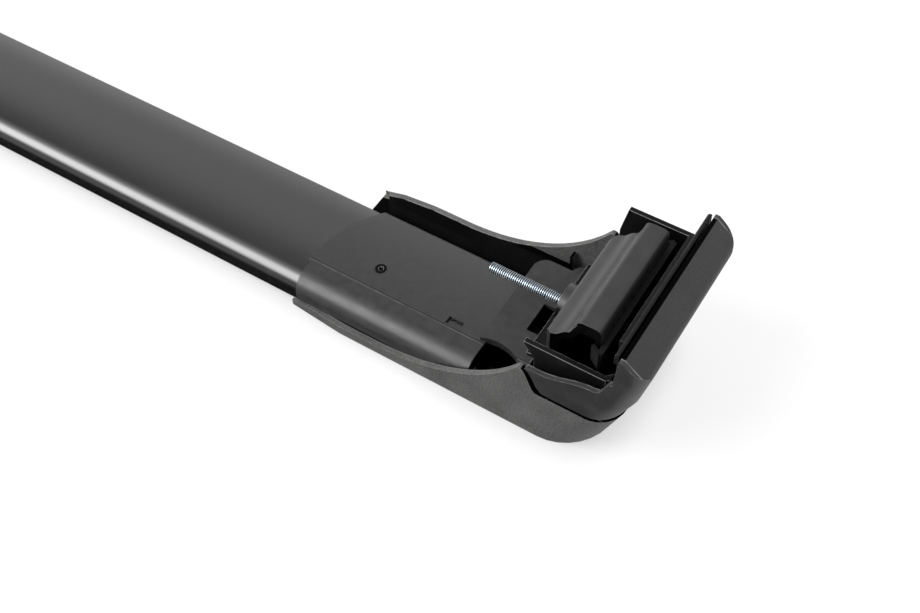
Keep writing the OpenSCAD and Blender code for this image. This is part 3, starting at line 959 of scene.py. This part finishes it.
    def _lathe(self, mesh: Mesh, profile: list[Span]) -> None:
        """Turns a profile round Z.

        Args:
            mesh: What the faces go into.
            profile: The radius and height of each ring.
        """
        rings = [self._ring(mesh, [radius] * self.steps, z) for radius, z in profile]
        for low, high in zip(rings, rings[1:]):
            self._band(mesh, low, high)


@dataclass
class Foot:
    """One clamping foot: the finish and eased edges of its packed parts, and its threaded bolt."""

    side: Side
    dressings: dict[str, Dressing]
    thread: bpy.types.Material
    nodes: dict[str, bpy.types.Object]

    def build(self) -> None:
        """Dresses the packed parts and adds the bolt."""
        for part, dressing in self.dressings.items():
            dressing.dress(self.nodes[f"{part}_{self.side.value}"])
        bolt = ClampBolt(self.side).build(self.thread)
        LOG.info("built %s", bolt.name)


@dataclass
class WingBar:
    """The extruded bar and the rubber strip in its slot."""

    dressings: dict[str, Dressing]
    nodes: dict[str, bpy.types.Object]

    def build(self) -> None:
        """Dresses the bar and the strip."""
        for part, dressing in self.dressings.items():
            dressing.dress(self.nodes[part])


@dataclass
class Lamp:
    """One soft lamp: which way its light comes from, how many degrees wide it looks and how strong it is."""

    name: str
    towards: tuple[float, float, float]
    spread: float
    strength: float

    def build(self) -> bpy.types.Object:
        """Makes the lamp.

        Returns:
            The new object.
        """
        data = bpy.data.lights.new(self.name, "SUN")
        data.energy = self.strength
        data.angle = math.radians(self.spread)
        lamp = bpy.data.objects.new(self.name, data)
        lamp.visible_glossy = False
        lamp.rotation_mode = "QUATERNION"
        lamp.rotation_quaternion = Vector(self.towards).to_track_quat("Z", "Y")
        bpy.context.scene.collection.objects.link(lamp)
        return lamp


@dataclass
class Studio:
    """Camera, pale grounds and plain soft light, with lengths in metres.

    Each of the windows is an angle round the bar, in degrees from +Y through -Z, and the brightness that is
    mirrored from there. The panels are mirrored from above. A span says where along a direction's X, Y or Z
    something fades in.
    """

    eye: Vector = field(default_factory=lambda: Vector((0.6277, 0.3499, -0.485)))
    target: Vector = field(default_factory=lambda: Vector((0.3788, -0.0013, 0.105)))
    roll: float = 176.43
    focal_px: float = 1256.94
    centre_px: Span = (446.22, 298.33)
    photo_px: Span = (920.0, 613.0)
    sensor_mm: float = 36.0
    clip: Span = (0.01, 50.0)
    ground_half: float = 5.0
    ground_gap: float = 0.05 * MM
    ground_shade: float = 0.3
    ground_glow: Span = (0.5, 0.78)
    shadow_reach: float = 0.02
    shadow_span: Span = (0.2, 0.95)
    shadow_samples: int = 8
    ambient: float = 0.7
    ambient_side_share: float = 0.3
    ambient_full: float = 0.7
    room: float = 0.02
    panel: float = 0.8
    far_panel: Span = (-0.15, -0.5)
    end_panel: Span = (-0.05, 0.25)
    horizon_panel: Span = (0.62, 0.35)
    horizon_share: float = 0.7
    window_fade: float = 0.85
    window_fade_y: Span = (0.0, 0.3)
    window_fade_x: Span = (-0.4, -0.2)
    horizon: float = 0.02
    windows: tuple[Span, ...] = (
        (0.0, 0.05), (7.0, 0.6), (16.0, 4.5), (28.0, 8.8), (56.0, 8.8), (68.0, 4.3), (80.0, 1.7),
        (103.0, 0.75), (119.0, 0.35), (125.0, 0.3), (132.0, 0.9), (146.0, 0.95), (155.0, 0.72),
        (161.0, 0.8), (168.0, 1.3), (180.0, 1.0))
    lamps: tuple[Lamp, ...] = (
        Lamp("key_below", (-0.5, 0.45, -0.74), spread=30.0, strength=1.7),
        Lamp("key_above", (-0.35, -0.55, 0.76), spread=25.0, strength=1.6))

    def build(self, low: Vector, high: Vector) -> None:
        """Makes the whole studio.

        Args:
            low: The lowest corner of the object's box.
            high: Its highest corner.
        """
        bpy.context.scene.view_settings.view_transform = "Standard"
        self.build_camera()
        self.build_world()
        self.build_ground("floor", low.z - self.ground_gap, faces_up=True)
        self.build_ground("table_top", high.z + self.ground_gap, faces_up=False)
        for lamp in self.lamps:
            lamp.build()

    def build_camera(self) -> bpy.types.Object:
        """Makes the camera at the photograph's viewing angle.

        Returns:
            The new object.
        """
        wide, high = self.photo_px
        data = bpy.data.cameras.new("camera")
        data.sensor_width = self.sensor_mm
        data.lens = self.sensor_mm * self.focal_px / wide
        data.shift_x = (wide / 2 - self.centre_px[0]) / wide
        data.shift_y = (self.centre_px[1] - high / 2) / wide
        data.clip_start, data.clip_end = self.clip
        camera = bpy.data.objects.new("camera", data)
        camera.rotation_mode = "QUATERNION"
        aim = (self.target - self.eye).to_track_quat("-Z", "Y")
        camera.rotation_quaternion = aim @ Quaternion((0.0, 0.0, 1.0), math.radians(self.roll))
        camera.location = self.eye
        bpy.context.scene.collection.objects.link(camera)
        bpy.context.scene.camera = camera
        return camera

    def build_world(self) -> None:
        """Makes a surrounding that looks white, lights evenly and is mirrored as windows in a dark room."""
        world = bpy.data.worlds.new("studio_white")
        bpy.context.scene.world = world
        world.use_nodes = True
        world.cycles.sampling_method = "NONE"
        world.node_tree.nodes.clear()
        g = Graph(world.node_tree)
        path = g.add("ShaderNodeLightPath").outputs
        seen = g.math("MAXIMUM", path["Is Camera Ray"], path["Is Transmission Ray"])
        mirrored = g.product(path["Is Glossy Ray"], g.math("SUBTRACT", 1.0, seen))
        lighting = g.math("SUBTRACT", 1.0, g.math("ADD", seen, mirrored))
        strength = g.math("ADD", seen, g.math("ADD", g.product(mirrored, self._mirrored(g)),
                                              g.product(lighting, self._ambient(g))))
        back = g.add("ShaderNodeBackground", {"Color": rgba(WHITE), "Strength": strength})
        g.add("ShaderNodeOutputWorld", {"Surface": back.outputs[0]}, is_active_output=True)

    @staticmethod
    def _direction(g: Graph) -> Sockets:
        """Gives the X, Y and Z of the direction that the world is seen in."""
        return g.split(g.add("ShaderNodeTexCoord").outputs["Generated"])

    def _ambient(self, g: Graph) -> Socket:
        """Gives the brightness that lights matt surfaces: weaker from the sides than from above and below."""
        steep = g.math("ABSOLUTE", self._direction(g)[2])
        return g.ramp(steep, (0.0, self.ambient_full), (self.ambient_side_share * self.ambient, self.ambient))

    def _mirrored(self, g: Graph) -> Socket:
        """Gives the brightness that glossy surfaces mirror.

        Args:
            g: The world's graph.

        Returns:
            The brightness: the windows' below the horizon and the panels' above it.
        """
        way = self._direction(g)
        below = g.product(self._window_light(g, way), g.ramp(way[2], (self.horizon, -self.horizon)))
        above = g.product(self._panel_light(g, way), g.ramp(way[2], (-self.horizon, self.horizon)))
        return g.math("ADD", below, above)

    def _window_light(self, g: Graph, way: Sockets) -> Socket:
        """Follows the windows round the bar, weaker towards +X on the nose's side.

        Args:
            g: The world's graph.
            way: The mirrored direction.

        Returns:
            The brightness.
        """
        x, y, z = way
        angle_share = g.math("DIVIDE", g.math("ARCTAN2", g.product(z, -1.0), y), math.pi)
        ramp = g.add("ShaderNodeValToRGB", {"Fac": angle_share})
        ramp.color_ramp.interpolation = "EASE"
        stops = ramp.color_ramp.elements
        while len(stops) < len(self.windows):
            stops.new(1.0)
        peak = max(level for _, level in self.windows)
        for stop, (angle, level) in zip(stops, self.windows):
            stop.position = angle / HALF_TURN
            stop.color = rgba(WHITE, level / peak)
        fade_x = g.ramp(x, self.window_fade_x, (0.0, self.window_fade))
        faded = g.product(g.ramp(y, self.window_fade_y), fade_x)
        return g.product(ramp.outputs["Color"], peak, g.math("SUBTRACT", 1.0, faded))

    def _panel_light(self, g: Graph, way: Sockets) -> Socket:
        """Adds the panels beyond the bar, past its +X end and along the horizon to a dark room.

        Args:
            g: The world's graph.
            way: The mirrored direction.

        Returns:
            The brightness.
        """
        x, y, z = way
        beyond = g.math("MAXIMUM", g.ramp(y, self.far_panel), g.ramp(x, self.end_panel))
        low = g.ramp(z, self.horizon_panel, (0.0, self.horizon_share))
        return g.math("ADD", self.room, g.product(g.math("MAXIMUM", low, beyond), self.panel))

    def _ground_material(self, name: str) -> bpy.types.Material:
        """Makes a white ground that only the camera sees, and only from its front.

        Args:
            name: The material's name.

        Returns:
            The new material.
        """
        material = bpy.data.materials.new(name)
        material.use_nodes = True
        material.node_tree.nodes.clear()
        g = Graph(material.node_tree)
        front = g.math("SUBTRACT", 1.0, g.add("ShaderNodeNewGeometry").outputs["Backfacing"])
        shown = g.product(g.add("ShaderNodeLightPath").outputs["Is Camera Ray"], front)
        matt = g.add("ShaderNodeBsdfDiffuse", {"Color": rgba(WHITE, self.ground_shade)})
        reach = {"Distance": self.shadow_reach}
        open_sky = g.add("ShaderNodeAmbientOcclusion", reach, samples=self.shadow_samples)
        strength = g.ramp(open_sky.outputs["AO"], self.shadow_span, self.ground_glow)
        glow = g.add("ShaderNodeEmission", {"Color": rgba(WHITE), "Strength": strength})
        lit = g.add("ShaderNodeAddShader", {0: matt.outputs[0], 1: glow.outputs[0]})
        clear = g.add("ShaderNodeBsdfTransparent")
        mix = g.add("ShaderNodeMixShader", {0: shown, 1: clear.outputs[0], 2: lit.outputs[0]})
        g.add("ShaderNodeOutputMaterial", {"Surface": mix.outputs[0]})
        return material

    def build_ground(self, name: str, height: float, faces_up: bool) -> bpy.types.Object:
        """Makes one pale ground.

        Args:
            name: The ground's name.
            height: Its height in the frame.
            faces_up: Whether its front is its upper side.

        Returns:
            The new object.
        """
        half = self.ground_half
        mesh = bmesh.new()
        corners = [mesh.verts.new((x, y, height)) for x, y in (
            (-half, -half), (half, -half), (half, half), (-half, half))]
        mesh.faces.new(corners if faces_up else corners[::-1])
        data = bpy.data.meshes.new(name)
        mesh.to_mesh(data)
        mesh.free()
        data.materials.append(self._ground_material(name))
        ground = bpy.data.objects.new(name, data)
        bpy.context.scene.collection.objects.link(ground)
        ground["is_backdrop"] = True
        return ground


def foot_dressings(effects: Effects) -> dict[str, Dressing]:
    """Gives the finish and edges of each packed part of a foot.

    Args:
        effects: The shared node groups.

    Returns:
        The dressings by part, which both feet share.
    """
    zinc = Coats.of(ZINC_STEEL, effects)
    pads = Coats.of(PAD_RUBBER, effects)
    return {
        "foot_cover": Dressing(Coats.of(COVER_PLASTIC, effects), EdgeRound(width=0.5)),
        "bar_cradle": Dressing(Coats.of(CRADLE_PLASTIC, effects), EdgeRound(width=0.35)),
        "claw": Dressing(Coats.of(CLAW_PLASTIC, effects), EdgeRound(width=0.6)),
        "clamp_bracket": Dressing(Coats.of(BRACKET_STEEL, effects), EdgeRound(width=0.9, segments=3)),
        "hook_pad": Dressing(pads, EdgeRound(width=0.3)),
        "clamp_jaw": Dressing(Coats.of(JAW_PLASTIC, effects), EdgeRound(width=1.1, segments=3)),
        "jaw_pad": Dressing(pads, EdgeRound(width=0.3)),
        "jaw_nut": Dressing(zinc, EdgeRound(width=0.2)),
        "bolt_washer": Dressing(zinc, EdgeRound(width=0.15)),
        "cradle_screw": Dressing(Coats.of(SCREW_STEEL, effects), EdgeRound(width=0.12)),
    }


def bar_dressings(effects: Effects) -> dict[str, Dressing]:
    """Gives the finish and edges of the bar and its strip.

    Args:
        effects: The shared node groups.

    Returns:
        The dressings by node.
    """
    return {
        "bar": Dressing(Coats.of(BAR_COAT, effects), EdgeRound(width=0.25, sharpest=35.0)),
        "slot_strip": Dressing(Coats.of(STRIP_RUBBER, effects), EdgeRound(width=0.25)),
    }


def main() -> None:
    """Loads the packed model, dresses it and builds the studio round it."""
    logging.basicConfig(level=logging.INFO, format="%(message)s")
    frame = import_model()
    cad_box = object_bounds()
    nodes = frame["nodes"]
    effects = Effects()
    low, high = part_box("clamp_bolt_right")
    thread = ThreadFinish(**vars(ZINC_STEEL), axis_z=(low.z + high.z) / 2 / MM).make(effects)
    parts = foot_dressings(effects)
    WingBar(bar_dressings(effects), nodes).build()
    for side in Side:
        Foot(side, parts, thread, nodes).build()
    Studio().build(*cad_box)


if __name__ == "__main__":
    main()
